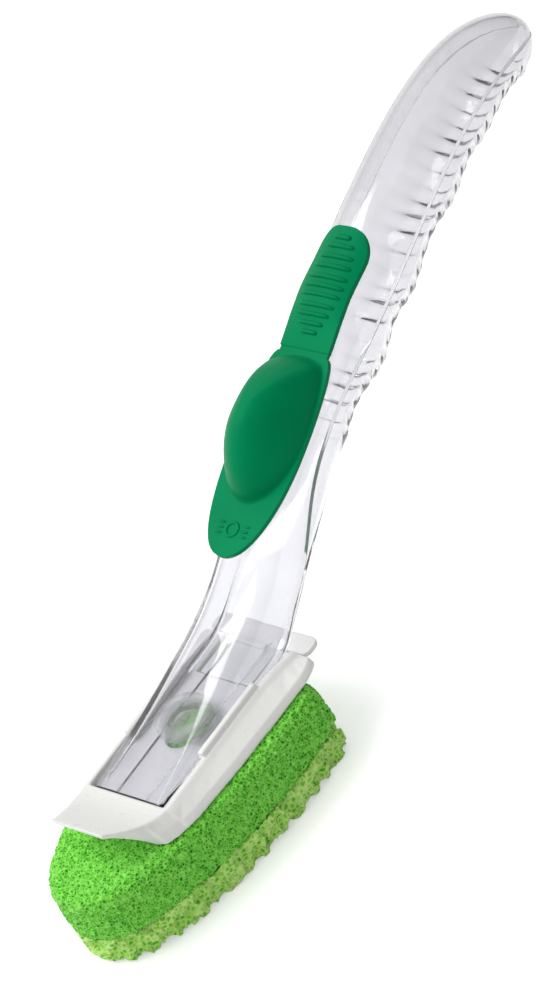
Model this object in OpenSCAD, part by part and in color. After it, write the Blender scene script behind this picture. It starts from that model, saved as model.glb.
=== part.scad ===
// Soap-dispensing dish wand: a clear hollow handle that holds washing-up liquid,
// a flexible cap with a pump bulb, and a white clip-on head with a scrub sponge.
// X runs from the toe to the handle end, Z is up, and the origin is the centre of
// the flat scrubbing face.

/* [Sponge] */
// Length of the sponge
sponge_len = 93; // [80:1:110]
// Width of the sponge at its widest
sponge_w = 59; // [54:1:70]
// Thickness of the coarse scrubbing layer
scrub_t = 11; // [8:0.5:16]
// Thickness of the fine foam layer
foam_t = 16; // [12:0.5:24]
// Rounding of the foam's upper edge
foam_round = 3.5; // [2:0.5:5]

/* [Head] */
// Thickness of the head's floor
floor_t = 2.2; // [1.6:0.1:3]
// Overhang of the head's flank beyond the rail, each side
flank_out = 8; // [6:0.5:10]
// Thickness of each side rail at its top
rail_t = 1.8; // [1.4:0.1:2.4]
// Height of the rail top above the foot's underside
rail_h = 3.6; // [3.4:0.1:4.4]
// Length of the raised guide on each rail
guide_len = 27; // [18:1:34]
// Height of the raised guide above the rail top
guide_up = 1.6; // [1:0.1:2.4]
// Reach of the scraper lip in front of the foot
lip_reach = 19; // [14:0.5:24]
// Rise of the scraper edge above the rail top
lip_rise = 8.3; // [4:0.1:10]
// Width of the scraper edge
lip_w = 20; // [14:1:26]
// Thickness of the scraper edge
lip_t = 1.6; // [1.2:0.1:2.4]
// Width of the soap hole in the floor
soap_hole_w = 10; // [7:0.5:12]
// Length of the soap hole in the floor
soap_hole_len = 17; // [13:0.5:22]

/* [Release tab] */
// Width of the springy tongue
tongue_w = 18; // [12:1:20]
// Length of the tongue inside the head
tongue_len = 15.5; // [12:0.5:22]
// Thickness of the tongue
tongue_t = 1.3; // [1:0.1:1.5]
// Slot beside the tongue
tongue_slot = 1.5; // [0.8:0.1:2.5]
// Width of the push tab at the end of the tongue
tab_w = 39; // [26:1:42]
// Length of the push tab
tab_len = 6.6; // [5:0.2:10]
// Width of the tooth on the tongue
tooth_w = 10.8; // [6:0.2:11]
// Height of the tooth on the tongue
tooth_h = 1; // [0.6:0.1:1.2]

/* [Handle] */
// Wall of the clear shells
wall = 2; // [1.4:0.1:2.4]
// Length of the foot that slides into the head
foot_len = 63.7; // [58:0.5:70]
// Width of the foot's flange
flange_w = 28.6; // [28.2:0.1:32]
// Thickness of the foot's floor and flange
flange_t = 1.8; // [1.6:0.1:2.4]
// Width of the foot above its flange
foot_w = 25.6; // [23:0.1:26.4]
// Width of the grip
grip_w = 27.4; // [25:0.2:32]
// Depth of the grip in front of its seam
grip_front = 14; // [12.5:0.1:16]
// Depth of the grip behind its seam, at the crests between the fingers
grip_back = 16.4; // [14:0.1:19]
// Number of finger ribs
rib_count = 25; // [15:1:28]
// Height of each finger rib
rib_h = 1.1; // [0.6:0.1:1.6]
// Depth of the deepest finger groove
groove_depth = 5.2; // [0:0.1:5.4]

/* [Cap and thumb grip] */
// Thickness of the soft thumb grip
pad_t = 1.2; // [0.8:0.1:1.4]
// Width of the thumb grip
pad_w = 18.6; // [14:0.2:20]
// Thickness of the cap's flange and lift tab
cap_t = 1.4; // [1:0.1:1.5]
// Width of the cap at its widest
cap_w = 26.2; // [24:0.2:28]
// Reach of the lift tab beyond the filler hole
lift_reach = 20.4; // [16:0.2:26]
// Length of the filler hole
filler_len = 37; // [30:0.5:40]
// Width of the filler hole
filler_w = 18.6; // [15:0.2:20]
// Depth of the ring that plugs the filler hole
plug_depth = 2.8; // [2:0.1:3.5]
// Wall of the plug ring and of the bulb
rubber_t = 1.4; // [1:0.1:2]
// Height of the bulb above the cap
bulb_h = 15; // [10:0.5:17]
// Travel of the bulb when pressed
bulb_travel = 6; // [4:0.5:7]

/* [Valve] */
// Distance of the outlet from the foot's front edge
outlet_x = 29; // [24:0.5:34]
// Bore of the outlet
outlet_d = 10; // [7:0.2:11]
// Wall of the boss round the outlet
boss_wall = 2.4; // [1.6:0.1:3]
// Height of the boss above the foot's floor
boss_h = 1; // [0.8:0.1:1.4]
// Thickness of the valve's flange
valve_flange_t = 0.9; // [0.6:0.1:1.2]

/* [Fits] */
// Running clearance between pieces that slide past each other
run_gap = 0.3; // [0.2:0.05:0.4]
// Clearance of a soft piece over the shell it lies on
seat_gap = 0.3; // [0.2:0.05:0.4]
// Radial clearance of the valve in its bore
valve_fit = 0.05; // [0.02:0.01:0.1]
// Clearance between the two shells along their weld
weld_gap = 0.14; // [0.1:0.01:0.2]

/* [Hidden] */

clear_col = [0.88, 0.89, 0.89, 0.55];
green_col = [0.0, 0.51, 0.33];
white_col = [0.91, 0.91, 0.90];
foam_col = [0.38, 0.68, 0.27];
scrub_col = [0.53, 0.77, 0.36];
silicone_col = [0.86, 0.86, 0.84];

// Levels, from the scrubbing face upwards
foam_top = scrub_t + foam_t;
floor_top = foam_top + floor_t;
foot_z = floor_top + run_gap;
seam_z = foot_z + flange_t;
rail_top = foot_z + rail_h;
groove_h = tooth_h - run_gap + 0.2;

// Foot, along X
heel_x = 53;
foot_x = heel_x - foot_len;
pocket_x = foot_x - run_gap;

// One cubic between b and c, past neighbours a and d
function cubic(a, b, c, d, f) =
    0.5 * (2 * b + (c - a) * f + (2 * a - 5 * b + 4 * c - d) * f * f
           + (3 * b - a - 3 * c + d) * f * f * f);

// A smooth curve through the rows of a list, at place t counted in rows
function along(rows, t) =
    let (n = len(rows), i = max(0, min(floor(t), n - 2)))
    cubic(rows[max(i - 1, 0)], rows[i], rows[i + 1], rows[min(i + 2, n - 1)], t - i);

// Superellipse power of a sine or cosine, with its sign
function power(v, n) = sign(v) * pow(abs(v), 2 / n);

// Plane of the cap's flange: its origin on the handle, and its tilt
cap_x = 79;
cap_z = 69.1;
cap_tilt = 23;
hinge_u = 39.9;
cap_seat = cap_t + seat_gap;

module on_cap() { translate([cap_x, 0, cap_z]) rotate([0, -cap_tilt, 0]) children(); }

// Depth in front of a seam point, along a section's tilt, that ends one seat below
// the cap's plane
function under_cap(x, z, tilt, seat) =
    (cap_z + (x - cap_x) * tan(cap_tilt) - z) / (cos(tilt) + sin(tilt) * tan(cap_tilt)) - seat;

// Handle sections, foot to end. Each row is the seam point x and z, the tilt of
// the section, the half width in front of and behind the seam, the depth in front
// and behind, and the squareness in front and behind.
hf = foot_w / 2;
fl = flange_w / 2;
hg = grip_w / 2;
gf = grip_front;
gb = grip_back;
ft = flange_t;
over = rail_h - flange_t;
sz = seam_z;
pad_seat = pad_t + seat_gap;
sections = [
    [foot_x, sz, 0, hf, fl, over, ft, 8, 9],
    [foot_x + wall + 2.6, sz, 0, hf, fl, over + 0.8, ft, 7, 9],
    [foot_x + 18.7, sz, 4, hf, fl, 4.9, ft, 6, 9],
    [foot_x + 32.7, sz, 8, hf, fl, 7.7, ft, 5.5, 9],
    [heel_x - 17, sz, 14, hf, fl, 11.3, ft, 5, 9],
    [heel_x - 5, sz, 22, hf, fl, 14.6, ft, 5, 7],
    [heel_x + 3.5, sz + 3.7, 30, hf, fl - 1, 14.5, 2.6, 4.6, 5],
    [64, 39.5, 35, hf, hf + 0.2, 13.8, 3.0, 4.3, 4],
    [71.5, 44.5, 38, hf, hf, 13.8, 4.4, 4, 3.5],
    [78.5, 51.5, 39, hf, hf, 13, 9, 4, 2.8],
    [86, 59.5, 37, 13, 13, under_cap(86, 59.5, 37, cap_seat), 14, 4, 2.5],
    [95, 66.3, 31, 13.2, 13.2, under_cap(95, 66.3, 31, cap_seat), 16.2, 4, 2.3],
    [107, 72, 22, 13.4, 13.4, under_cap(107, 72, 22, cap_seat), gb + 0.6, 3.6, 2.2],
    [118.5, 75.85, 18.9, 13.5, 13.5, under_cap(118.5, 75.85, 18.9, cap_seat), gb + 0.8, 2.8, 2.2],
    [134, 80.6, 18.5, hg, hg, gf - pad_seat, gb + 0.8, 2.4, 2.2],
    [147, 85, 19.5, hg, hg, gf - pad_seat, gb + 0.5, 2.2, 2.2],
    [160, 89.6, 19, hg, hg, gf, gb + 0.3, 2.1, 2.2],
    [173, 94, 18, hg - 0.2, hg - 0.2, gf - 0.2, gb + 0.1, 2.1, 2.2],
    [186, 98, 15, hg - 0.4, hg - 0.4, gf - 0.6, gb, 2.1, 2.2],
    [199, 101, 10, hg - 0.5, hg - 0.5, gf - 1.2, gb, 2.1, 2.2],
    [212, 102.4, 4, hg - 0.7, hg - 0.7, gf - 2, gb - 0.5, 2.1, 2.2],
    [222.5, 102, -3, hg - 1.5, hg - 1.5, gf - 3, gb - 1.4, 2.1, 2.2],
    [231, 100.6, -8, hg - 2.9, hg - 2.9, gf - 4.8, gb - 3, 2.1, 2.2],
    [237.2, 98.9, -13, hg - 5.2, hg - 5.2, gf - 7, gb - 6, 2.1, 2.2],
    [240.6, 97.4, -17, hg - 8.4, hg - 8.4, gf - 9.7, gb - 10, 2.1, 2.2],
    [242.3, 96.6, -19, 2, 2, 1.8, 1.8, 2.1, 2.2]];
last_t = len(sections) - 1;

// Place along the handle whose seam point has a given x, by halving
function place(x, lo = 0, hi = 24, n = 16) =
    n == 0 ? (lo + hi) / 2
    : let (mid = (lo + hi) / 2)
      along(sections, mid)[0] < x ? place(x, mid, hi, n - 1) : place(x, lo, mid, n - 1);

// Finger grooves behind the grip: crests by share of the ribbed length, the height
// of each crest, and the depths between them in shares of the deepest
crests = [0, 0.23, 0.396, 0.625, 0.804, 1.03];
crest_up = [0, 0, 1.3, 0.2, 1.3, 0];
grooves = [0.65, 0.46, 0.96, 1, 0.8];
rib_first = 238.5;
rib_last = 103.7;
rib_crowd = 0.91;
rib_x = [for (i = [0:rib_count - 1])
         rib_first + (rib_last - rib_first) * pow(i / (rib_count - 1), rib_crowd)];

function finger(x) =
    let (k = pow(max(0, (x - rib_first) / (rib_last - rib_first)), 1 / rib_crowd),
         s = [for (i = [0:4]) if (k >= crests[i] && k < crests[i + 1]) i])
    len(s) == 0 ? 0
    : let (i = s[0], f = (k - crests[i]) / (crests[i + 1] - crests[i]))
      crest_up[i] + (crest_up[i + 1] - crest_up[i]) * pow(sin(90 * f), 2)
      - groove_depth * grooves[i] * pow(sin(180 * f), 2);

// A point of a section: its place t, the angle from the near seam edge, the inset
// from the outside, side 1 in front of the seam or -1 behind it, and added depth
function skin(t, ang, inset, side, more = 0) =
    let (r = along(sections, t),
         half = max((side > 0 ? r[3] : r[4]) - inset, 1),
         deep = max((side > 0 ? r[5] : r[6]) - inset, 0),
         n = side > 0 ? r[7] : r[8],
         h = side * (deep + (deep > 3 ? more * sin(ang) : 0)) * power(sin(ang), n))
    [r[0] - h * sin(r[2]), -half * power(cos(ang), n),
     r[1] + h * cos(r[2]) + side * weld_gap / 2];

// Closed ring of a half shell: the outside arc, then the inside arc back
function shell_ring(t, side, k, rib, dip) =
    let (turns = [for (i = [0:k]) 90 + side * (90 - 180 * i / k)])
    concat([for (a = turns) skin(t, a, 0, side, rib + dip)],
           [for (i = [k:-1:0]) skin(t, turns[i], wall, side, dip)]);

// Faces of a loft through n rings of m points, closed at both ends
function strip_faces(i, j, m) =
    let (a = i * m + j, b = i * m + (j + 1) % m, c = a + m, d = b + m)
    [[a, d, b], [a, c, d]];
function loft_faces(n, m) =
    concat([for (f = end_faces(m)) f],
           [for (i = [0:n - 2], j = [0:m - 1], f = strip_faces(i, j, m)) f],
           [for (f = end_faces(m)) [for (j = [2:-1:0]) (n - 1) * m + f[j]]]);

// The end ring's faces, as a strip from its first half across to its second half
function end_faces(m) =
    [for (i = [0:m / 2 - 2], f = i < m / 4 ? [[i, i + 1, m - 1 - i], [i + 1, m - 2 - i, m - 1 - i]]
                                           : [[i, i + 1, m - 2 - i], [i, m - 2 - i, m - 1 - i]]) f];

// Solid through rings of points, each with as many points as the first
module loft(rings) {
    polyhedron(points = [for (r = rings, p = r) p],
               faces = loft_faces(len(rings), len(rings[0])), convexity = 8);
}

// Solid round a closed row of rings, such as a rim
module hoop(rings) {
    n = len(rings);
    m = len(rings[0]);
    polyhedron(points = [for (r = rings, p = r) p],
               faces = [for (i = [0:n - 1], j = [0:m - 1],
                             a = [i * m + j], b = [i * m + (j + 1) % m],
                             c = [((i + 1) % n) * m + j],
                             d = [((i + 1) % n) * m + (j + 1) % m],
                             f = [[a, d, b], [a, c, d]]) f], convexity = 8);
}

function ellipse(a, b, n = 48) = [for (i = [0:n - 1]) [a * cos(360 * i / n),
                                                       b * sin(360 * i / n)]];

// Filler hole, its plug ring and the bulb that slides in the ring
hole_u = 14.5;
hole_a = filler_len / 2;
hole_b = filler_w / 2;
plug_fit = 0.2;
bore_a = hole_a - plug_fit - rubber_t;
bore_b = hole_b - plug_fit - rubber_t;
bulb_a = bore_a - run_gap;
bulb_b = bore_b - run_gap;
dome_low = 22.5;
dome_high = hinge_u - hole_u - 0.5;
dome_b = cap_w / 2 - 1.1;

// Height of the dome over a place of the cap, inside its outer skin by an inset
function dome(u, v, inset = 0) =
    let (a = (u > 0 ? dome_high : dome_low) - inset, b = dome_b - inset)
    (bulb_h - inset) * pow(max(0, 1 - pow(u / a, 2) - pow(v / b, 2)), 0.55);

// Point of the dome's skirt: angle, share of the way from the bore to the edge, inset
function skirt(ang, f, inset) =
    let (a = (cos(ang) > 0 ? dome_high : dome_low) - inset, b = dome_b - inset,
         u = (bore_a + (a - bore_a) * f) * cos(ang), v = (bore_b + (b - bore_b) * f) * sin(ang))
    [u, v, f == 1 ? 0 : dome(u, v, inset)];

module front_shell() {
    color(clear_col) difference() {
        loft([for (t = [0:0.5:last_t]) shell_ring(t, 1, 10, 0, 0)]);
        on_cap() translate([hole_u, 0, -20]) linear_extrude(30)
            polygon(ellipse(hole_a, hole_b));
    }
}

rib_edge = [[1.7, 0], [0.7, 1], [-0.6, 1], [-1.7, 0]];
module back_shell() {
    plain = [for (t = [0:0.5:place(rib_last - 3)]) t];
    boss_r = outlet_d / 2 + boss_wall;
    color(clear_col) difference() {
        union() {
            loft(concat([for (t = plain) shell_ring(t, -1, 8, 0, 0)],
                        [for (i = [rib_count - 1:-1:0], e = [3:-1:0])
                         let (x = rib_x[i] + rib_edge[e][0])
                         shell_ring(place(x), -1, 8, rib_edge[e][1] * rib_h,
                                    finger(x))],
                        [for (t = [24.2, 24.6, last_t]) shell_ring(t, -1, 8, 0, 0)]));
            translate([foot_x + outlet_x, 0, seam_z - 0.5])
                cylinder(h = boss_h + 0.5, r = boss_r, $fn = 48);
        }
        translate([foot_x + outlet_x, 0, foot_z - 1])
            cylinder(h = flange_t + boss_h + 2, d = outlet_d, $fn = 48);
        translate([foot_x - 1, -tooth_w / 2 - run_gap, foot_z - 1])
            cube([foot_len + 8, tooth_w + 2 * run_gap, 1 + groove_h]);
    }
}

// Thumb grip, a soft skin in the shallow seat in front of the grip
function over_front(t, y, off) =
    let (r = along(sections, t), half = r[3] + off, deep = r[5] + off,
         h = deep * pow(max(0, 1 - pow(abs(y) / half, r[7])), 1 / r[7]))
    [r[0] - h * sin(r[2]), y, r[1] + h * cos(r[2])];

pad_start = 119.5;
pad_end = 152.8;
pad_first = place(pad_start);
pad_last = place(pad_end);
pad_corner = 0.55;
function pad_half(t) =
    pad_w / 2 * (t < pad_last - pad_corner ? 1
        : 0.3 + 0.7 * sqrt(max(0, 1 - pow((t - pad_last + pad_corner) / pad_corner, 2))));
module thumb_grip() {
    k = 8;
    color(green_col)
        loft([for (i = [0:16])
              let (t = pad_first + (pad_last - pad_first) * sin(90 * i / 16), w = pad_half(t))
              concat([for (j = [0:k]) over_front(t, w * (1 - 2 * j / k), pad_seat)],
                     [for (j = [k:-1:0]) over_front(t, w * (1 - 2 * j / k), seat_gap)])]);
}

// Outline of the cap: the lift tab, the widest part and the hinge at the thumb grip
wide_u = 11.7;
hinge_half = pad_w / 2;
tip_n = 2.28;
tab_u = hole_u - hole_a - lift_reach;
function cap_outline() =
    concat([for (i = [0:12]) let (a = 90 * i / 12)
            [wide_u + (hinge_u - run_gap - wide_u) * cos(a),
             hinge_half + (cap_w / 2 - hinge_half) * sin(a)]],
           [for (i = [1:23]) let (a = 90 + 180 * i / 24)
            [wide_u + (wide_u - tab_u) * power(cos(a), tip_n), cap_w / 2 * power(sin(a), tip_n)]],
           [for (i = [12:-1:0]) let (a = 90 * i / 12)
            [wide_u + (hinge_u - run_gap - wide_u) * cos(a),
             -hinge_half - (cap_w / 2 - hinge_half) * sin(a)]]);

module filler_cap() {
    n = 48;
    steps = [0, 0.3, 0.55, 0.75, 0.9, 1];
    color(green_col) on_cap() {
        translate([0, 0, -cap_t]) linear_extrude(cap_t) difference() {
            polygon(cap_outline());
            translate([hole_u, 0]) polygon(ellipse(bore_a, bore_b));
        }
        translate([hole_u, 0, -cap_t - plug_depth]) linear_extrude(plug_depth + 0.2)
            difference() {
                polygon(ellipse(hole_a - plug_fit, hole_b - plug_fit));
                polygon(ellipse(bore_a, bore_b));
            }
        translate([hole_u, 0, 0])
            hoop([for (i = [0:n - 1]) let (a = 360 * i / n)
                  concat([for (f = steps) skirt(a, f, 0)],
                         [for (e = [0, rubber_t]) skirt(a, 1, e) - [0, 0, cap_t / 2]],
                         [for (j = [len(steps) - 1:-1:0]) skirt(a, steps[j], rubber_t)])]);
    }
}

// Bulb: a hollow rubber dome that slides in the plug ring
module pump_bulb() {
    n = 48;
    steps = [0.2, 0.4, 0.6, 0.8, 1];
    inner = 1 - rubber_t / bulb_b;
    function row(f, w, drop) = [for (i = [0:n - 1])
        let (u = f * bulb_a * cos(360 * i / n), v = -f * bulb_b * sin(360 * i / n))
        [u, v, drop == undef ? w : dome(u, v, drop)]];
    rows = concat([for (f = steps) row(f, 0, 0)],
                  [row(1, -cap_t), row(inner, -cap_t)],
                  [for (f = [0.75, 0.5, 0.25]) row(f, 0, rubber_t)]);
    m = len(rows);
    points = concat([for (r = rows, p = r) p],
                    [[0, 0, bulb_h], [0, 0, bulb_h - rubber_t]]);
    faces = concat([for (j = [0:n - 1]) [m * n, j, (j + 1) % n]],
                   [for (i = [0:m - 2], j = [0:n - 1], f = strip_faces(i, j, n)) f],
                   [for (j = [0:n - 1]) [m * n + 1, (m - 1) * n + (j + 1) % n, (m - 1) * n + j]]);
    color(green_col) on_cap() translate([hole_u, 0, 0]) polyhedron(points, faces, convexity = 6);
}

// Outlet valve: a silicone cup whose slit end lets liquid out when the bulb is pressed
valve_x = foot_x + outlet_x;
valve_foot = foot_z + groove_h + 0.1;
boss_top = seam_z + boss_h;
boss_r = outlet_d / 2 + boss_wall;
valve_skirt = boss_r - 0.6;
module outlet_valve() {
    r = outlet_d / 2 - valve_fit;
    color(silicone_col) translate([valve_x, 0, 0]) difference() {
        rotate_extrude($fn = 48) polygon([
            [0, valve_foot], [r, valve_foot], [r, boss_top], [valve_skirt, boss_top],
            [valve_skirt, boss_top + valve_flange_t], [r - 1.4, boss_top + valve_flange_t],
            [r - 1.4, valve_foot + 1.6], [0, valve_foot + 0.8]]);
        for (a = [0, 90]) rotate([0, 0, a])
            translate([-r * 0.45, -0.06, valve_foot - 1]) cube([r * 0.9, 0.12, 4]);
    }
}

// Ring that snaps over the boss and holds the valve's flange down
module valve_retainer() {
    lip_z = boss_top + valve_flange_t + 0.05;
    in_r = boss_r + valve_fit;
    color(clear_col) translate([valve_x, 0, 0]) rotate_extrude($fn = 48) polygon([
        [in_r, seam_z + 0.1], [in_r + 1.2, seam_z + 0.1], [in_r + 1.2, lip_z + 0.9],
        [valve_skirt - 1.4, lip_z + 0.9], [valve_skirt - 1.4, lip_z], [in_r, lip_z]]);
}

// Head: a tray with side rails, a rising scraper lip in front and a flared flank
half_in = fl + run_gap;
half_top = half_in + rail_t;
half_low = half_top + flank_out;
head_end = heel_x - 1.5;
guide_x = foot_x + 18.7;
joined = 0.5;

// Half width of the flank's lower edge, in shares, along X
flank_share = [[-20, 0.2], [-15, 0.52], [-7, 0.73], [11, 0.9], [30, 0.97], [44, 1], [51.5, 0.85]];
function share(x) =
    let (i = [for (j = [0:len(flank_share) - 2]) if (x >= flank_share[j][0]) j],
         a = flank_share[i[len(i) - 1]], b = flank_share[i[len(i) - 1] + 1])
    a[1] + (b[1] - a[1]) * (x - a[0]) / (b[0] - a[0]);

function flank_section(x) =
    let (low = half_top + (half_low - half_top) * share(x),
         fall = max(0, (x - guide_x - guide_len) / (head_end - guide_x - guide_len)),
         top = rail_top - 2.6 * pow(fall, 1.5),
         soft = x > head_end - 2.5 ? (x - head_end + 2.5) / 2.5 : 0)
    [for (p = [[low - soft, foam_top], [low - soft, foam_top + 0.8],
               [low - 1.4 - soft, foam_top + 2.6], [half_top + 1.2, top - 1.2],
               [half_top - 0.1, top - 0.2], [half_top - 0.7, top], [half_in, top],
               [half_in, foam_top]])
     [x, p[0], p[1]]];
module flank() {
    loft([for (x = [pocket_x - joined, -7, 0, 11, 20, 30, 37, head_end - 7.5, head_end - 3.5,
                    head_end - 1.5, head_end]) flank_section(x)]);
}

function lip_section(k) =
    let (x = pocket_x - lip_reach * k,
         top_h = half_top - 0.5 + (lip_w / 2 - half_top + 0.5) * pow(k, 1.6),
         top = rail_top + lip_rise * pow(k, 1.7),
         low_h = k < 0.45 ? half_top + (half_low - half_top) * share(max(x, -20))
                          : max(lip_w / 2, half_top - 0.4 - (half_top - lip_w / 2) * (k - 0.45) / 0.4),
         low = k < 0.45 ? foam_top
                        : foam_top + (rail_top + lip_rise - lip_t - foam_top) * pow((k - 0.45) / 0.55, 0.8))
    [[x, -low_h, low], [x, -(low_h + top_h) / 2 - 0.6 * (1 - k), (low + top) / 2],
     [x, -top_h, top], [x, top_h, top],
     [x, (low_h + top_h) / 2 + 0.6 * (1 - k), (low + top) / 2], [x, low_h, low]];

module guide() {
    y0 = hf + run_gap + 0.05;
    z0 = seam_z + run_gap;
    top = rail_top + guide_up;
    translate([guide_x, 0, 0]) rotate([90, 0, 90]) linear_extrude(guide_len)
        polygon([[y0, z0], [half_in + 0.6, z0], [half_in + 0.6, rail_top - 0.6],
                 [half_top - 0.8, top], [y0 + 0.6, top], [y0, top - 0.6]]);
}

module head_base() {
    slot_x = head_end - tongue_len;
    color(white_col) difference() {
        union() {
            translate([pocket_x - joined, -half_in - joined, foam_top])
                cube([head_end - pocket_x + joined, 2 * (half_in + joined), floor_t]);
            flank();
            mirror([0, 1, 0]) flank();
            loft([for (k = [0, 0.1, 0.2, 0.3, 0.4, 0.45, 0.55, 0.65, 0.75, 0.85, 0.93, 1])
                  lip_section(k)]);
            guide();
            mirror([0, 1, 0]) guide();
        }
        for (s = [-1, 1]) translate([valve_x + s * (soap_hole_len - soap_hole_w) / 2, 0, foam_top - 1])
            cylinder(h = floor_t + 2, d = soap_hole_w, $fn = 40);
        translate([valve_x - (soap_hole_len - soap_hole_w) / 2, -soap_hole_w / 2, foam_top - 1])
            cube([soap_hole_len - soap_hole_w, soap_hole_w, floor_t + 2]);
        translate([slot_x, -tongue_w / 2 - tongue_slot, foam_top - 1])
            cube([tongue_len + 5, tongue_w + 2 * tongue_slot, floor_t + 1.5]);
    }
}

// Release tab: a springy tongue in the head's floor, with a tooth and a push tab
module release_tab() {
    color(white_col) {
        translate([head_end - tongue_len + run_gap, -tongue_w / 2, floor_top - tongue_t])
            cube([tongue_len + 0.6, tongue_w, tongue_t]);
        translate([0, 0, floor_top - tongue_t - 0.5]) linear_extrude(tongue_t + 0.5)
            offset(r = 2.5, $fn = 32) translate([head_end + run_gap + 2.5, -tab_w / 2 + 2.5])
            square([tab_len - 5 + 0.3, tab_w - 5]);
        translate([heel_x - 3.5, -tooth_w / 2, floor_top - 0.2]) rotate([90, 0, 90])
            linear_extrude(2) polygon([[0, 0], [tooth_w, 0], [tooth_w - 0.5, tooth_h + 0.2],
                                       [0.5, tooth_h + 0.2]]);
    }
}

// Sponge outline: a flat-iron shape, round at the toe and square at the heel.
// Shares of half length and half width, from the toe round to the heel.
iron = [[-1, 0], [-0.985, 0.16], [-0.94, 0.33], [-0.86, 0.48], [-0.74, 0.6], [-0.5, 0.75],
        [-0.22, 0.86], [0.06, 0.94], [0.36, 0.99], [0.64, 1], [0.88, 0.985], [0.96, 0.95],
        [0.995, 0.86], [1, 0.7], [1, 0]];
module sponge(levels) {
    n = len(iron);
    loft([for (l = levels)
          let (hx = sponge_len / 2 - l[1], hy = sponge_w / 2 - l[1])
          concat([for (i = [0:n - 1]) [hx * iron[i][0], -hy * iron[i][1], l[0]]],
                 [for (i = [n - 2:-1:1]) [hx * iron[i][0], hy * iron[i][1], l[0]]])]);
}
module foam_layer() {
    color(foam_col) sponge([[scrub_t, 0.2], [scrub_t + 2, 0], [foam_top - foam_round, 0.3],
                            [foam_top - foam_round * 0.3, 1.1], [foam_top, foam_round]]);
}
module cellulose_layer() {
    color(scrub_col) sponge([[0, 1.4], [1.4, 0.4], [scrub_t - 1, 0.2], [scrub_t, 0.2]]);
}

front_shell();
back_shell();
thumb_grip();
filler_cap();
pump_bulb();
outlet_valve();
valve_retainer();
head_base();
release_tab();
foam_layer();
cellulose_layer();
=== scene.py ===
import bpy
import math
import random
from mathutils import Matrix, Vector, kdtree
from mathutils.bvhtree import BVHTree


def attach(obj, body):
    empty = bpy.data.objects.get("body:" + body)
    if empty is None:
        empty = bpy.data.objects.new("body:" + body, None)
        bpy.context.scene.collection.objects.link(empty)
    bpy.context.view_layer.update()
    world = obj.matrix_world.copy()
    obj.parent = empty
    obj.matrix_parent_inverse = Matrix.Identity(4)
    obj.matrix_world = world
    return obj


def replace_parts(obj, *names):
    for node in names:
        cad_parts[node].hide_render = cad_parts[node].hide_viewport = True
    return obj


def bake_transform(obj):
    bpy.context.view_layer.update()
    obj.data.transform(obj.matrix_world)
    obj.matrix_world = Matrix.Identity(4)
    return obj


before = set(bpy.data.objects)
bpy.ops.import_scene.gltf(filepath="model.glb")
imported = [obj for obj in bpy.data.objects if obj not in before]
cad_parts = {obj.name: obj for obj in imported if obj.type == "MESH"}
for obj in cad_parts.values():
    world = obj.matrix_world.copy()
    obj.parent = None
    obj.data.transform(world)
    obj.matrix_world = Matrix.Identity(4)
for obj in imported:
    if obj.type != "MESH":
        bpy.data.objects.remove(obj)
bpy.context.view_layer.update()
scene = bpy.context.scene
mm = 0.001   # sizes are in millimetres and angles in degrees, where no note says otherwise

cameraSetup = {
    "place": (-415.6 * mm, -748.7 * mm, 782.0 * mm),
    "azimuth": -33.593, "elevation": 38.856, "roll": -29.762,
    "focal": 4021.8, "longSide": 1000,   # in pixels of the picture
    "sensor": 36, "far": 20,
}


def addCamera(s):
    a, e, r = (math.radians(s[k]) for k in ("azimuth", "elevation", "roll"))
    back = Vector((math.sin(a) * math.cos(e), -math.cos(a) * math.cos(e), math.sin(e)))
    right = Vector((math.cos(a), math.sin(a), 0))
    up = back.cross(right)
    turnedRight = right * math.cos(r) + up * math.sin(r)
    turnedUp = up * math.cos(r) - right * math.sin(r)
    data = bpy.data.cameras.new("camera")
    data.sensor_width = s["sensor"]
    data.lens = s["focal"] / s["longSide"] * s["sensor"]
    data.clip_end = s["far"]
    cam = bpy.data.objects.new("camera", data)
    scene.collection.objects.link(cam)
    cam.matrix_world = Matrix((
        (turnedRight.x, turnedUp.x, back.x, s["place"][0]),
        (turnedRight.y, turnedUp.y, back.y, s["place"][1]),
        (turnedRight.z, turnedUp.z, back.z, s["place"][2]),
        (0, 0, 0, 1)))
    scene.camera = cam


addCamera(cameraSetup)
print("camera ready")


def plug(tree, slot, value):
    if isinstance(value, Wire):
        tree.links.new(value.socket, slot)
    else:
        slot.default_value = value


class Wire:   # a shader value: arithmetic on it adds Math nodes
    def __init__(self, tree, socket):
        self.tree, self.socket = tree, socket

    def math(self, operation, *values):
        node = self.tree.nodes.new("ShaderNodeMath")
        node.operation = operation
        for slot, value in zip(node.inputs, values):
            plug(self.tree, slot, value)
        return Wire(self.tree, node.outputs[0])

    def __add__(self, other): return self.math("ADD", self, other)
    def __radd__(self, other): return self.math("ADD", other, self)
    def __sub__(self, other): return self.math("SUBTRACT", self, other)
    def __rsub__(self, other): return self.math("SUBTRACT", other, self)
    def __mul__(self, other): return self.math("MULTIPLY", self, other)
    def __rmul__(self, other): return self.math("MULTIPLY", other, self)

    def most(self, other): return self.math("MAXIMUM", self, other)

    def spread(self, low, high, toLow, toHigh):
        node = self.tree.nodes.new("ShaderNodeMapRange")
        for slot, value in zip(node.inputs, (self, low, high, toLow, toHigh)):
            plug(self.tree, slot, value)
        return Wire(self.tree, node.outputs[0])


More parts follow.
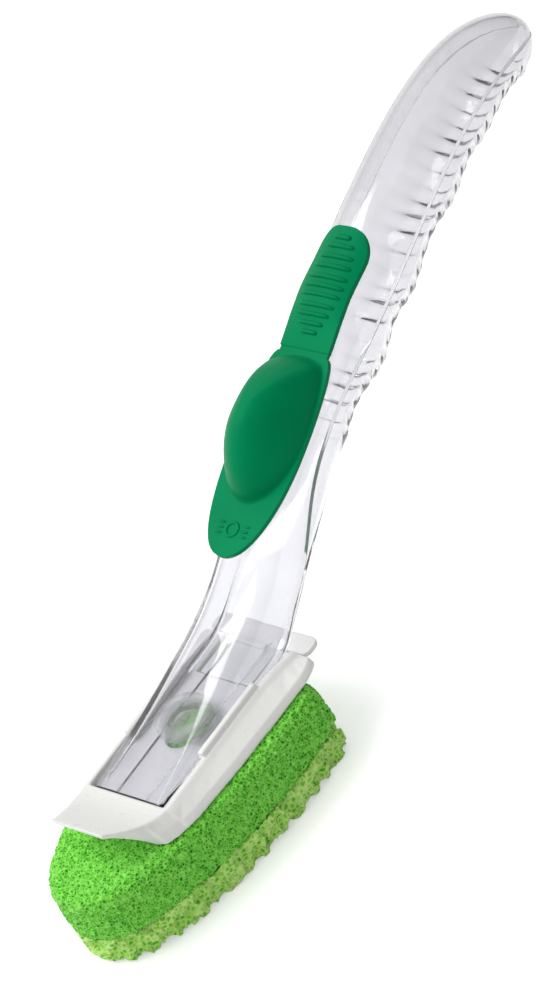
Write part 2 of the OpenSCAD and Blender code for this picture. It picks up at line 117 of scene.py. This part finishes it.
class NodeTree:   # a node tree whose nodes all come from one method
    def __init__(self, tree):
        self.tree = tree

    def node(self, kind, output, settings=(), sockets=()):
        node = self.tree.nodes.new(kind)
        for key, value in dict(settings).items():
            if key == "stops":
                while len(node.color_ramp.elements) < len(value):
                    node.color_ramp.elements.new(0.5)
                for element, (position, rgb) in zip(node.color_ramp.elements, value):
                    element.position, element.color = position, (*rgb, 1)
            else:
                setattr(node, key, value)
        for key, value in dict(sockets).items():
            plug(self.tree, node.inputs[key], value)
        return Wire(self.tree, node.outputs[output])


def srgb(r, g, b):   # a colour of 0 to 255 steps as the shader's own numbers
    return tuple(((c / 255 + 0.055) / 1.055) ** 2.4 if c > 10 else c / 255 / 12.92
                 for c in (r, g, b))


class Finish(NodeTree):   # a Principled material whose patterns read Object coordinates
    def __init__(self, name, values):
        self.material = bpy.data.materials.new(name)
        self.material.use_nodes = True
        super().__init__(self.material.node_tree)
        self.shader = self.tree.nodes["Principled BSDF"]
        for key, value in values.items():
            self.shader.inputs[key].default_value = value
        self.place = self.node("ShaderNodeTexCoord", "Object")

    def noise(self, scale, detail=3.0):
        return self.node("ShaderNodeTexNoise", "Fac", (), {
            "Vector": self.place, "Scale": scale, "Detail": detail})

    def hollows(self, scale):   # 0 on the walls between cells, more towards their middles
        return self.node("ShaderNodeTexVoronoi", "Distance", {"feature": "DISTANCE_TO_EDGE"},
                         {"Vector": self.place, "Scale": scale})

    def colour(self, amount, stops):
        stops = [(position, srgb(*rgb)) for position, rgb in stops]
        ramp = self.node("ShaderNodeValToRGB", "Color", {"stops": stops}, {"Fac": amount})
        plug(self.tree, self.shader.inputs["Base Color"], ramp)

    def rough(self, scale, noiseFrom, noiseTo, roughFrom, roughTo):
        amount = self.noise(scale).spread(noiseFrom, noiseTo, roughFrom, roughTo)
        plug(self.tree, self.shader.inputs["Roughness"], amount)

    def relief(self, height, strength, distance):
        bump = self.node("ShaderNodeBump", "Normal", (), {
            "Strength": strength, "Distance": distance, "Height": height})
        plug(self.tree, self.shader.inputs["Normal"], bump)


# tint and grain give the scale and detail of a noise; rough gives its scale, the span of it
# that counts and the roughness at both ends; depth is in metres
plastics = {
    "clearPlastic": {
        "shader": {"Transmission Weight": 1.0, "IOR": 1.47},
        "tint": (60, 3.0), "darker": (234, 234, 237), "paler": (240, 240, 243),
        "rough": (300, 0.3, 0.7, 0.02, 0.05),
        "grain": (110, 2.0), "strength": 0.08, "depth": 0.0004,
    },
    "softGreen": {
        "shader": {"Specular IOR Level": 0.14, "Specular Tint": (0.1, 1, 0.65, 1)},
        "tint": (45, 4.0), "darker": (0, 124, 76), "paler": (0, 133, 83),
        "rough": (400, 0.3, 0.7, 0.42, 0.52),
        "grain": (2500, 2.0), "strength": 0.06, "depth": 0.0001,
    },
    "whitePlastic": {
        "shader": {"Specular IOR Level": 0.45, "Subsurface Weight": 0.2,
                   "Subsurface Radius": (0.003, 0.003, 0.003), "Subsurface Scale": 1.0},
        "tint": (40, 4.0), "darker": (234, 234, 231), "paler": (239, 239, 236),
        "rough": (250, 0.3, 0.7, 0.26, 0.34),
        "grain": (1500, 2.0), "strength": 0.03, "depth": 0.0001,
    },
    "silicone": {
        "shader": {"Transmission Weight": 0.9, "IOR": 1.41, "Alpha": 0.35},
        "tint": (200, 3.0), "darker": (236, 237, 235), "paler": (244, 244, 243),
        "rough": (400, 0.3, 0.7, 0.15, 0.25),
        "grain": (900, 2.0), "strength": 0.04, "depth": 0.0001,
    },
}


tintFrom, tintTo = 0.3, 0.7   # the span of the noise that the two tints share


def makePlastic(name):
    s = plastics[name]
    f = Finish(name, s["shader"])
    f.colour(f.noise(*s["tint"]), ((tintFrom, s["darker"]), (tintTo, s["paler"])))
    f.rough(*s["rough"])
    f.relief(f.noise(*s["grain"]), s["strength"], s["depth"])
    return f


clearShadow = (0.93, 0.93, 0.94, 1)


def lightenShadow(f):   # a shadow as pale as the clear plastic itself
    shadow = f.node("ShaderNodeLightPath", "Is Shadow Ray")
    through = f.node("ShaderNodeBsdfTransparent", "BSDF", (), {"Color": clearShadow})
    body = Wire(f.tree, f.shader.outputs["BSDF"])
    mixed = f.node("ShaderNodeMixShader", "Shader", (), {0: shadow, 1: body, 2: through})
    plug(f.tree, f.tree.nodes["Material Output"].inputs["Surface"], mixed)
    return f


# painted shade darkens the cells towards their middles, and the threads between them stay pale;
# cells is their scale, and the rest is as for the plastics
sponges = {
    "fineFoam": {
        "shader": {"Specular IOR Level": 0.15, "Sheen Weight": 0.1},
        "cells": 1000, "fleck": (700, 6.0), "fleckShare": 0.8, "poreShade": 0.9, "level": 0.3,
        "stops": ((0.28, (28, 118, 20)), (0.5, (96, 202, 50)), (0.7, (150, 238, 98))),
        "rough": (500, 0.2, 0.8, 0.82, 0.96),
        "grain": (1100, 4.0), "grainShare": 0.9, "cellDepth": 1.6,
        "strength": 0.8, "depth": 0.0005,
    },
    "coarseSponge": {
        "shader": {"Specular IOR Level": 0.2, "Sheen Weight": 0.08},
        "cells": 620, "fleck": (500, 5.0), "fleckShare": 0.7, "poreShade": 1.1, "level": 0.34,
        "stops": ((0.18, (72, 170, 22)), (0.4, (144, 228, 68)), (0.62, (210, 250, 146))),
        "rough": (500, 0.2, 0.8, 0.7, 0.92),
        "grain": (900, 4.0), "grainShare": 0.6, "cellDepth": 2,
        "strength": 0.7, "depth": 0.0007,
    },
}


def makeSpongeFinish(name):
    s = sponges[name]
    f = Finish(name, s["shader"])
    hollow = f.hollows(s["cells"])
    # the tone: random flecks, darkened by painted pore shade towards the cells' middles
    tone = f.noise(*s["fleck"]) * s["fleckShare"] - hollow * s["poreShade"] + s["level"]
    f.colour(tone, s["stops"])
    f.rough(*s["rough"])
    height = f.noise(*s["grain"]) * s["grainShare"] - hollow * s["cellDepth"]
    f.relief(height, s["strength"], s["depth"])
    return f


clearPlastic = lightenShadow(makePlastic("clearPlastic")).material
softGreen = makePlastic("softGreen").material
whitePlastic = makePlastic("whitePlastic").material
silicone = makePlastic("silicone").material
fineFoam = makeSpongeFinish("fineFoam").material
coarseSponge = makeSpongeFinish("coarseSponge").material
print("materials ready")


def deselectAll():
    if bpy.context.object and bpy.context.object.mode != "OBJECT":
        bpy.ops.object.mode_set(mode="OBJECT")
    bpy.ops.object.select_all(action="DESELECT")


def makeActive(obj):
    deselectAll()
    obj.select_set(True)
    bpy.context.view_layer.objects.active = obj


def editAll(obj):   # into edit mode with everything selected
    makeActive(obj)
    bpy.ops.object.mode_set(mode="EDIT")
    bpy.ops.mesh.select_all(action="SELECT")


def applied(obj, kind, **settings):
    makeActive(obj)
    mod = obj.modifiers.new(kind.lower(), kind)
    for key, value in settings.items():
        setattr(mod, key, value)
    bpy.ops.object.modifier_apply(modifier=mod.name)


def relaxed(obj, rounds):
    applied(obj, "SMOOTH", factor=0.5, iterations=rounds)


def thickened(obj, wall):   # inwards from the face that shows
    applied(obj, "SOLIDIFY", thickness=wall * mm, offset=-1)


def rimmed(obj, width, segments=3, angle=60):
    applied(obj, "BEVEL", width=width * mm, segments=segments, limit_method="ANGLE",
            angle_limit=math.radians(angle))


def smoothed(obj, angle=50):
    makeActive(obj)
    bpy.ops.object.shade_smooth_by_angle(angle=math.radians(angle))


mergeReach = 0.01 * mm


def mended(obj):   # doubles merged, then faces turned outwards
    editAll(obj)
    bpy.ops.mesh.remove_doubles(threshold=mergeReach)
    bpy.ops.mesh.normals_make_consistent(inside=False)
    bpy.ops.object.mode_set(mode="OBJECT")


def facedUp(obj):   # an open sheet with its faces turned upwards
    if obj.data.polygons[0].normal.z < 0:
        editAll(obj)
        bpy.ops.mesh.flip_normals()
        bpy.ops.object.mode_set(mode="OBJECT")


def finished(obj, material, body=None):
    obj.data.materials.clear()
    obj.data.materials.append(material)
    if body:
        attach(obj, body)
    return obj


def added(name):   # the primitive just added, with its place in its mesh
    obj = bpy.context.object
    obj.name = name
    bpy.ops.object.transform_apply(location=True, rotation=True, scale=True)
    return obj


def moved(obj, way):   # every vertex goes where way(x, y, z) says
    for v in obj.data.vertices:
        v.co = Vector(way(*v.co))
    obj.data.update()


def joined(obj, others):
    makeActive(obj)
    for other in others:
        other.select_set(True)
    bpy.ops.object.join()


# two triangles less unlike than this become one face
quadsBelow = {"face": math.radians(30), "shape": math.radians(60)}


def nodeCopy(nodeName, name, sharp=50, levels=0):   # a merged, softened copy of a CAD node
    obj = bpy.data.objects.new(name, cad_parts[nodeName].data.copy())
    scene.collection.objects.link(obj)
    makeActive(obj)
    bpy.ops.object.mode_set(mode="EDIT")
    bpy.ops.mesh.select_mode(type="VERT")
    bpy.ops.mesh.select_all(action="SELECT")
    bpy.ops.mesh.remove_doubles(threshold=mergeReach)
    bpy.ops.mesh.tris_convert_to_quads(face_threshold=quadsBelow["face"],
                                       shape_threshold=quadsBelow["shape"])
    bpy.ops.mesh.select_mode(type="EDGE")
    bpy.ops.mesh.select_all(action="DESELECT")
    bpy.ops.mesh.edges_select_sharp(sharpness=math.radians(sharp))
    bpy.ops.transform.edge_crease(value=1)
    bpy.ops.object.mode_set(mode="OBJECT")
    if levels:
        applied(obj, "SUBSURF", levels=levels, render_levels=levels)
    return obj


def remeshed(obj, voxel, rounds):   # one even skin with softly rounded edges
    applied(obj, "REMESH", mode="VOXEL", voxel_size=voxel * mm)
    relaxed(obj, rounds)


handle = {"levels": 1, "smoothBelow": 35}


def makeShell(nodeName, name):
    shell = nodeCopy(nodeName, name, levels=handle["levels"])
    smoothed(shell, handle["smoothBelow"])
    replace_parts(finished(shell, clearPlastic, "handle"), nodeName)


makeShell("front_shell", "frontShell")
makeShell("back_shell", "backShell")
print("handle ready")

# the cap's own plane: u runs up along it, v across, w out of it
capPlane = {"x": 79, "z": 69.1, "tilt": 23}


def capPoint(u, v, w):   # a place over the cap's plane, in metres
    c, s = math.cos(math.radians(capPlane["tilt"])), math.sin(math.radians(capPlane["tilt"]))
    return Vector((capPlane["x"] + u * c - w * s, v, capPlane["z"] + u * s + w * c)) * mm


cover = {
    # the dome: its middle, height and reach down, up and across, and how full it is
    "centre": 14.5, "height": 16.3, "low": 22.5, "high": 25.1, "half": 13.1, "full": 0.95,
    # the fillet at its foot, and how it rounds off and fills the leaf's outline at the hinge
    "foot": 0.2, "round": 0.4, "fill": 0.985,
    # the leaf's outline: its widest place, its tip and its straight end at the hinge
    "wide": 11.7, "halfWidth": 13.3, "tip": -24.9, "tipPower": 2.28,
    "end": 39.6, "endHalf": 9.5, "endGap": 0.01, "farthest": 45.0, "halvings": 40,
    "curl": 0.0015, "curlFrom": 10, "wall": 1.4, "rim": 0.5, "relax": 5,
    # the mesh: rings outwards, crowded towards the dome's foot, and spokes round
    "domeRings": 34, "edgeRings": 8, "crowd": 1.6, "spokes": 96, "cornerSpoke": 12,
}


def coverHalf(u):   # half width of the leaf's outline at u
    s = cover
    if u > s["wide"]:
        f = (u - s["wide"]) / (s["end"] + s["endGap"] - s["wide"])
        return s["endHalf"] + (s["halfWidth"] - s["endHalf"]) * math.sqrt(max(0, 1 - f * f))
    f = (s["wide"] - u) / (s["wide"] - s["tip"])
    return s["halfWidth"] * max(0, 1 - f ** s["tipPower"]) ** (1 / s["tipPower"])


def coverReach(du, dv):   # distance from the dome's middle to the outline, along a direction
    s = cover
    low, high = 0.0, s["farthest"]
    for _ in range(s["halvings"]):
        mid = (low + high) / 2
        u, v = s["centre"] + du * mid, abs(dv * mid)
        inside = s["tip"] <= u <= s["end"] and v <= coverHalf(u)
        low, high = (mid, high) if inside else (low, mid)
    return low


def coverTurn(spoke):   # one spoke meets each of the outline's two corners at the hinge
    s = cover
    corner = math.atan2(s["endHalf"] / s["half"], (s["end"] - s["centre"]) / s["high"])
    away = min(spoke, s["spokes"] - spoke)
    if away < s["cornerSpoke"]:
        turn = corner * away / s["cornerSpoke"]
    else:
        turn = (corner + (math.pi - corner) * (away - s["cornerSpoke"])
                / (s["spokes"] / 2 - s["cornerSpoke"]))
    return turn if spoke <= s["spokes"] / 2 else -turn


def coverTop(u):   # the leaf's face curls up a little towards its tip
    return cover["curl"] * max(0, cover["curlFrom"] - u) ** 2


def coverPoint(x, y, z):   # grid x gives the ring, grid y the spoke
    s = cover
    ring = (x + 0.5) * (s["domeRings"] + s["edgeRings"])
    turn = coverTurn((y + 0.5) * s["spokes"])
    length = s["high"] if math.cos(turn) > 0 else s["low"]
    eu, ev = length * math.cos(turn), s["half"] * math.sin(turn)
    edge = math.hypot(eu, ev)
    reach = coverReach(eu / edge, ev / edge)
    base = reach * s["fill"]
    if math.cos(turn) < 0:   # the dome ends before the lift tab
        base = min(base, edge)
    else:
        base += s["round"] * min(0, edge - base)
    share = 1 - (1 - min(1, ring / s["domeRings"])) ** s["crowd"]
    rise = 1 - share ** 2
    foot = min(1, rise / s["foot"])
    w = s["height"] * rise ** s["full"] * foot * foot * (3 - 2 * foot)
    far = base * share
    if ring > s["domeRings"]:
        far += (reach - far) * (ring - s["domeRings"]) / s["edgeRings"]
    u, v = s["centre"] + eu / edge * far, ev / edge * far
    return capPoint(u, v, w + coverTop(u))


def makeCover():
    s = cover
    deselectAll()
    bpy.ops.mesh.primitive_grid_add(x_subdivisions=s["domeRings"] + s["edgeRings"],
                                    y_subdivisions=s["spokes"], size=1)
    obj = added("flexCover")
    moved(obj, coverPoint)
    mended(obj)
    facedUp(obj)
    relaxed(obj, s["relax"])
    thickened(obj, s["wall"])
    rimmed(obj, s["rim"])
    smoothed(obj)
    finished(obj, softGreen)
    capPoint(cover["centre"], 0, 1)
    capPoint(cover["centre"], 0, 15)
    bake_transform(obj)
    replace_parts(obj, "filler_cap", "pump_bulb")


makeCover()

plugRing = {"centre": 14.5, "length": 18.3, "half": 9.1, "top": -1.2, "depth": 3.0,
            "wall": 1.4, "sides": 96, "rim": 0.3, "rimSegments": 2}


def makePlugRing():   # the collar under the cap that plugs the filler hole
    s = plugRing
    deselectAll()
    bpy.ops.mesh.primitive_circle_add(vertices=s["sides"], radius=1)
    obj = added("plugRing")
    moved(obj, lambda x, y, z: capPoint(s["centre"] + s["length"] * x, s["half"] * y, s["top"]))
    editAll(obj)
    down = capPoint(0, 0, -s["depth"]) - capPoint(0, 0, 0)
    bpy.ops.mesh.extrude_edges_move(TRANSFORM_OT_translate={"value": down})
    bpy.ops.object.mode_set(mode="OBJECT")
    mended(obj)
    thickened(obj, s["wall"])
    rimmed(obj, s["rim"], s["rimSegments"])
    smoothed(obj)
    finished(obj, softGreen, "cap")


makePlugRing()

liftMarks = {
    "ring": -15.5, "ringRadius": 2.1, "ringThick": 0.5, "ringFlat": 0.8,
    "ringSides": 40, "tubeSides": 10,
    "bars": 3, "barStep": 1.6, "barGap": 2.6, "barHalf": 1.5, "barThick": 0.42,
    "ballSides": 12, "ballRings": 10, "smoothBelow": 60,
}


def makeLiftMarks():   # a raised ring on the lift tab, and short grip bars on both sides of it
    s = liftMarks
    deselectAll()
    bpy.ops.mesh.primitive_torus_add(
        major_segments=s["ringSides"], minor_segments=s["tubeSides"],
        major_radius=s["ringRadius"], minor_radius=s["ringThick"])
    ring = added("liftRing")
    moved(ring, lambda x, y, z: capPoint(s["ring"] + x, y,
                                         coverTop(s["ring"] + x) + z * s["ringFlat"]))
    bars = []
    for side in (-1, 1):
        v0 = side * (s["ringRadius"] + s["barGap"])
        for i in range(s["bars"]):
            u0 = s["ring"] + (i - s["bars"] // 2) * s["barStep"]
            deselectAll()
            bpy.ops.mesh.primitive_uv_sphere_add(segments=s["ballSides"],
                                                 ring_count=s["ballRings"], radius=1)
            bar = added("liftBar")
            moved(bar, lambda x, y, z: capPoint(u0 + x * s["barThick"], v0 + y * s["barHalf"],
                                                coverTop(u0) + z * s["barThick"]))
            bars.append(bar)
    joined(ring, bars)
    smoothed(ring, s["smoothBelow"])
    finished(ring, softGreen, "cap")


makeLiftMarks()
print("cover ready")

thumbPad = {
    "tilt": 18.7, "above": 200, "from": 40,   # the slope of its face, and where rays start
    "sharp": 50, "levels": 2, "rim": 0.45, "rimSegments": 3, "rimAngle": 50,
    # flatter across near the crease
    "creaseX": 115.6, "flatFor": 13, "sideDrop": 1.3, "sideHalf": 9.3, "sidePower": 2.6,
    # longer at its top end
    "stretchFrom": 132, "stretch": 2.4, "stretchOver": 14,
    # place along X and half length of each raised bar
    "bars": ((145.2, 2.6), (143.1, 4.6), (140.4, 5.8), (137.8, 6.4), (134.9, 6.9), (132.6, 7.0),
             (130.1, 6.9), (127.3, 6.2), (125.0, 5.4), (122.8, 4.0), (120.7, 2.6)),
    "thick": 0.62, "proud": 0.8, "longer": 0.5, "ballSides": 14, "ballRings": 28,
}

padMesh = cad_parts["thumb_grip"].data
padFaces = BVHTree.FromPolygons([v.co for v in padMesh.vertices],
                                [tuple(p.vertices) for p in padMesh.polygons])


def padSurface(x, y):   # the thumb pad's face seen square to it, above a place of its midline
    s = thumbPad
    t = math.radians(s["tilt"])
    out = Vector((-math.sin(t), 0, math.cos(t)))
    middle = padFaces.ray_cast(Vector((x * mm, 0, s["above"] * mm)), Vector((0, 0, -1)))[0]
    start = middle + out * s["from"] * mm + Vector((0, y * mm, 0))
    return padFaces.ray_cast(start, -out)[0], out


def padFit(x, y, z):
    s = thumbPad
    t = math.radians(s["tilt"])
    near = max(0, 1 - max(0, x / mm - s["creaseX"]) / s["flatFor"])
    rise = s["sideDrop"] * min(1, abs(y / mm) / s["sideHalf"]) ** s["sidePower"] * near
    along = s["stretch"] * max(0, x / mm - s["stretchFrom"]) / s["stretchOver"]
    return Vector((x, y, z)) + Vector((along * math.cos(t) - rise * math.sin(t), 0,
                                       along * math.sin(t) + rise * math.cos(t))) * mm


def makeThumbBar(x0, half):
    s = thumbPad
    deselectAll()
    bpy.ops.mesh.primitive_uv_sphere_add(segments=s["ballSides"], ring_count=s["ballRings"],
                                         radius=1, rotation=(math.pi / 2, 0, 0))
    bar = added("thumbBar")

    def follow(x, y, z):
        full = math.sqrt(1 + y ** 2 + y ** 4 + y ** 6)   # nearly straight, with round ends
        place, out = padSurface(x0, y * (half + s["longer"]))
        along = Vector((out.z, 0, -out.x))
        return place + along * x * full * s["thick"] * mm + out * z * full * s["proud"] * mm

    moved(bar, follow)
    return bar


def makeThumbPad():
    s = thumbPad
    pad = nodeCopy("thumb_grip", "thumbPad", s["sharp"], s["levels"])
    rimmed(pad, s["rim"], s["rimSegments"], s["rimAngle"])
    bars = [makeThumbBar(x0, half) for x0, half in s["bars"]]
    for piece in (pad, *bars):
        moved(piece, padFit)
    joined(pad, bars)
    smoothed(pad)
    finished(pad, softGreen, "handle")
    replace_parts(pad, "thumb_grip")


makeThumbPad()

flexStrip = {"half": 9.1, "padX": 117.4, "sink": 0.12, "dip": 0.5, "capU": 39.2, "wall": 1.0,
             "acrossSteps": 10, "alongSteps": 24}


def makeFlexStrip():   # the thin web that bends between the thumb pad and the cap
    s = flexStrip
    deselectAll()
    bpy.ops.mesh.primitive_grid_add(x_subdivisions=s["acrossSteps"],
                                    y_subdivisions=s["alongSteps"], size=1)
    obj = added("flexStrip")

    def bridge(x, y, z):
        f, v = x + 0.5, y * 2 * s["half"]
        first, out = padSurface(s["padX"], v)
        first = padFit(*first) - out * s["sink"] * mm
        last = capPoint(s["capU"], v, -s["sink"])
        middle = (first + last) / 2 - out * s["dip"] * mm
        return first * (1 - f) ** 2 + middle * 2 * f * (1 - f) + last * f * f

    moved(obj, bridge)
    facedUp(obj)
    thickened(obj, s["wall"])
    smoothed(obj)
    finished(obj, softGreen)
    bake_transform(obj)


makeFlexStrip()
print("thumb pad ready")

head = {"voxel": 0.4, "rounds": 4, "tabVoxel": 0.3, "tabRounds": 3, "rounded": 5,
        "sharp": 25, "smoothBelow": 60}


def makeMoulding(nodeName, name, voxel, rounds, body):
    obj = nodeCopy(nodeName, name, head["sharp"])
    form = nodeCopy(nodeName, "form", head["sharp"])
    remeshed(obj, voxel, rounds)
    applied(obj, "SHRINKWRAP", target=form)   # flat faces flat again
    relaxed(obj, head["rounded"])
    bpy.data.objects.remove(form)
    smoothed(obj, head["smoothBelow"])
    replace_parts(finished(obj, whitePlastic, body), nodeName)


makeMoulding("head_base", "headBase", head["voxel"], head["rounds"], "head")
makeMoulding("release_tab", "releaseTab", head["tabVoxel"], head["tabRounds"], "latch")
for carriedName in ("outlet_valve", "valve_retainer"):
    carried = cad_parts[carriedName].data.materials
    carried.clear()
    carried.append(silicone)
print("head ready")

# pores: how many, their radius and how uneven it is, and how deep they go;
# the foam's shoulder is narrower than the solid's
foam = {"voxel": 0.42, "rounds": 2, "cells": 15000, "least": 0.42, "more": 0.35, "skew": 2.0,
        "deep": 0.85, "narrow": 0.08, "shoulder": 7, "seed": 11}
coarse = {"voxel": 0.38, "rounds": 2, "cells": 3000, "least": 0.5, "more": 2.3, "skew": 3.5,
          "deep": 0.95, "narrow": 0, "shoulder": 7, "seed": 23}


def carved(obj, s):   # round pores pushed in along the surface's own direction
    random.seed(s["seed"])
    mesh = obj.data
    count = len(mesh.vertices)
    tree = kdtree.KDTree(count)
    for v in mesh.vertices:
        tree.insert(v.co, v.index)
    tree.balance()
    depth = [0.0] * count
    for _ in range(s["cells"]):
        centre = mesh.vertices[random.randrange(count)].co
        radius = (s["least"] + s["more"] * random.random() ** s["skew"]) * mm
        for _, i, distance in tree.find_range(centre, radius):
            depth[i] = max(depth[i], s["deep"] * math.sqrt(max(0, radius ** 2 - distance ** 2)))
    normals = [v.normal.copy() for v in mesh.vertices]
    for v, n, d in zip(mesh.vertices, normals, depth):
        v.co -= n * d
    mesh.update()


def makeSponge(nodeName, name, s, material):
    obj = nodeCopy(nodeName, name)
    top = max(v.co.z for v in obj.data.vertices)
    shoulder = s["shoulder"] * mm
    moved(obj, lambda x, y, z: (
        x, y * (1 - s["narrow"] * max(0, z - top + shoulder) / shoulder), z))
    remeshed(obj, s["voxel"], s["rounds"])
    carved(obj, s)
    makeActive(obj)
    bpy.ops.object.shade_smooth()
    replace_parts(finished(obj, material, "head"), nodeName)


makeSponge("foam_layer", "foamLayer", foam, fineFoam)
makeSponge("cellulose_layer", "coarseLayer", coarse, coarseSponge)
print("sponge ready")

studio = {   # in metres
    "floorSize": 6, "floorDrop": 0.0002, "floorShade": 0.8, "floorRough": 0.9,
    "floorGlow": 0.44, "floorFar": 0.05,
    # clear plastic and gloss see the floor darken away from the sponge
    "tableFrom": 0.06, "tableTo": 0.32, "tableCentre": (0.03, 0.03, 0),
    # the world is brightest towards the soft box and darkest away from it
    "boxWay": (-0.42, 0.55, 0.722), "dark": 0.12, "bright": 1.16, "from": -0.35, "to": 0.95,
}


def seenBy(t, names):   # 1 for the kinds of ray named
    total = 0.0
    for name in names:
        total = t.node("ShaderNodeLightPath", name).most(total)
    return total


def makeFloor():
    s = studio
    deselectAll()
    bpy.ops.mesh.primitive_plane_add(size=s["floorSize"], location=(0, 0, -s["floorDrop"]))
    floor = bpy.context.object
    floor.name = "floor"
    material = bpy.data.materials.new("floorWhite")
    material.use_nodes = True
    t = NodeTree(material.node_tree)
    shader = t.tree.nodes["Principled BSDF"]
    shader.inputs["Base Color"].default_value = (*[s["floorShade"]] * 3, 1)
    shader.inputs["Roughness"].default_value = s["floorRough"]
    shader.inputs["Emission Color"].default_value = (1, 1, 1, 1)
    place = t.node("ShaderNodeTexCoord", "Object")
    away = t.node("ShaderNodeVectorMath", "Value", {"operation": "DISTANCE"},
                  {0: place, 1: s["tableCentre"]})
    table = away.spread(s["tableFrom"], s["tableTo"], s["floorGlow"], s["floorFar"])
    camera = seenBy(t, ("Is Camera Ray",))
    bent = seenBy(t, ("Is Glossy Ray", "Is Transmission Ray"))
    glow = (camera * s["floorGlow"]).most(bent * table)
    plug(t.tree, shader.inputs["Emission Strength"], glow)
    floor.data.materials.append(material)


def makeWorld():
    s = studio
    world = bpy.data.worlds.new("studio")
    scene.world = world
    world.use_nodes = True
    t = NodeTree(world.node_tree)
    way = t.node("ShaderNodeTexCoord", "Generated")
    facing = t.node("ShaderNodeVectorMath", "Value", {"operation": "DOT_PRODUCT"},
                    {0: way, 1: s["boxWay"]})
    level = facing.spread(s["from"], s["to"], s["dark"], s["bright"])
    strength = level.most(seenBy(t, ("Is Camera Ray",)))
    background = t.tree.nodes["Background"]
    background.inputs["Color"].default_value = (1, 1, 1, 1)
    plug(t.tree, background.inputs["Strength"], strength)


keyLamp = {"place": (-0.2, 0.45, 1.15), "target": (0.08, 0, 0.05), "size": (0.7, 0.5), "power": 6}


def addLamp(name, s):
    data = bpy.data.lights.new(name, "AREA")
    data.shape, data.size, data.size_y = "RECTANGLE", *s["size"]
    data.energy = s["power"]
    lamp = bpy.data.objects.new(name, data)
    scene.collection.objects.link(lamp)
    lamp.location = s["place"]
    way = Vector(s["target"]) - Vector(s["place"])
    lamp.rotation_euler = way.to_track_quat("-Z", "Y").to_euler()


makeFloor()
makeWorld()
addLamp("keyLamp", keyLamp)
scene.view_settings.view_transform = "Standard"
print("studio ready")
